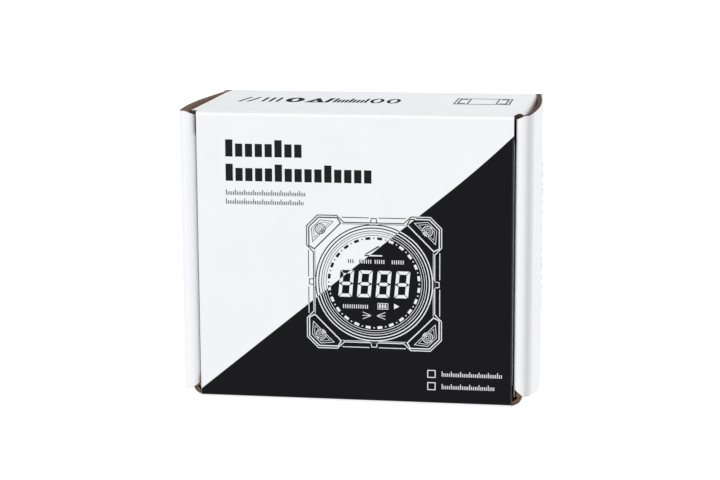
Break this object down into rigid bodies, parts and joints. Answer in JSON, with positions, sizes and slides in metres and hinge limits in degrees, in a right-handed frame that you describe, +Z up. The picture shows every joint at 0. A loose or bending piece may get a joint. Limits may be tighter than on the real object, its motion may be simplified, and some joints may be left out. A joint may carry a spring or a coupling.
{
  "type": "boxed digital angle gauge",
  "caption": "Square digital angle gauge with a round dial, lying in a foam nest inside a hinged corrugated mailer carton with rolled side walls and a tuck front.",
  "frame": {"origin": "centre of the carton's footprint, on the surface that it stands on", "axes": "+Z up, +X to the right across the lid, -Y out of the lid's printed face towards the viewer"},
  "size_m": [0.133, 0.072, 0.11],
  "materials": {
    "printed_board": "satin",
    "foam": "matte",
    "gauge_case": "fine texture",
    "corner_pad": "brushed",
    "screw_steel": "satin",
    "magnet": "polished",
    "bezel": "satin",
    "dial_ring": "satin",
    "dial_window": "polished",
    "lcd": "polished",
    "backlight": "matte",
    "circuit_board": "satin",
    "chip": "matte",
    "battery": "satin",
    "port_shell": "satin",
    "key": "matte"
  },
  "bodies": {
    "carton": {"base_panel": "printed_board", "hinge_wall": "printed_board", "front_wall": "printed_board", "corner_flap_top_left": "printed_board", "corner_flap_top_right": "printed_board", "corner_flap_bottom_left": "printed_board", "corner_flap_bottom_right": "printed_board", "side_wall_left": "printed_board", "side_wall_right": "printed_board", "foam_frame": "foam", "foam_base": "foam"},
    "lid": {"lid_panel": "printed_board"},
    "tuck": {"tuck_flap": "printed_board"},
    "dust_left": {"dust_flap_left": "printed_board"},
    "dust_right": {"dust_flap_right": "printed_board"},
    "gauge": {"front_case": "gauge_case", "rear_case": "gauge_case", "corner_pad_top_right": "corner_pad", "corner_pad_top_left": "corner_pad", "corner_pad_bottom_left": "corner_pad", "corner_pad_bottom_right": "corner_pad", "corner_screw_top_right": "screw_steel", "corner_screw_top_left": "screw_steel", "corner_screw_bottom_left": "screw_steel", "corner_screw_bottom_right": "screw_steel", "magnet_top_a": "magnet", "magnet_top_b": "magnet", "magnet_left_a": "magnet", "magnet_left_b": "magnet", "magnet_bottom_a": "magnet", "magnet_bottom_b": "magnet", "magnet_right_a": "magnet", "magnet_right_b": "magnet", "bezel_ring": "bezel", "dial_ring": "dial_ring", "dial_window": "dial_window", "lcd_panel": "lcd", "lcd_backlight": "backlight", "main_board": "circuit_board", "tilt_sensor": "chip", "processor_chip": "chip", "battery_cell": "battery", "charging_port": "port_shell", "power_switch": "chip", "hold_switch": "chip", "zero_switch": "chip"},
    "power_key": {"power_key": "key"},
    "hold_key": {"hold_key": "key"},
    "zero_key": {"zero_key": "key"}
  },
  "joints": [
    {"name": "lid_crease", "type": "hinge", "parent": "carton", "child": "lid", "pos_m": [0, -0.03525, 0.10925], "axis": [-1, 0, 0], "range_deg": [0, 180]},
    {"name": "tuck_crease", "type": "hinge", "parent": "lid", "child": "tuck", "pos_m": [0, -0.03525, 0.00155], "axis": [-1, 0, 0], "range_deg": [0, 78]},
    {"name": "dust_crease_left", "type": "hinge", "parent": "lid", "child": "dust_left", "pos_m": [-0.0575, -0.0342, 0.055], "axis": [0, 0, -1], "range_deg": [0, 80]},
    {"name": "dust_crease_right", "type": "hinge", "parent": "lid", "child": "dust_right", "pos_m": [0.0575, -0.0342, 0.055], "axis": [0, 0, 1], "range_deg": [0, 80]},
    {"name": "gauge_lift", "type": "slide", "parent": "carton", "child": "gauge", "axis": [0, -1, 0], "range_m": [0, 0.018]},
    {"name": "power_key_press", "type": "slide", "parent": "gauge", "child": "power_key", "axis": [0, 0, -1], "range_m": [0, 0.0005], "stiffness_N_per_m": 1500, "springref_m": -0.0008},
    {"name": "hold_key_press", "type": "slide", "parent": "gauge", "child": "hold_key", "axis": [-1, 0, 0], "range_m": [0, 0.0005], "stiffness_N_per_m": 1500, "springref_m": -0.0008},
    {"name": "zero_key_press", "type": "slide", "parent": "gauge", "child": "zero_key", "axis": [0, 0, 1], "range_m": [0, 0.0005], "stiffness_N_per_m": 1500, "springref_m": -0.0008}
  ],
  "couplings": [
    {"joint": "tuck_crease", "follows": "lid_crease", "ratio": 0.4333}
  ]
}
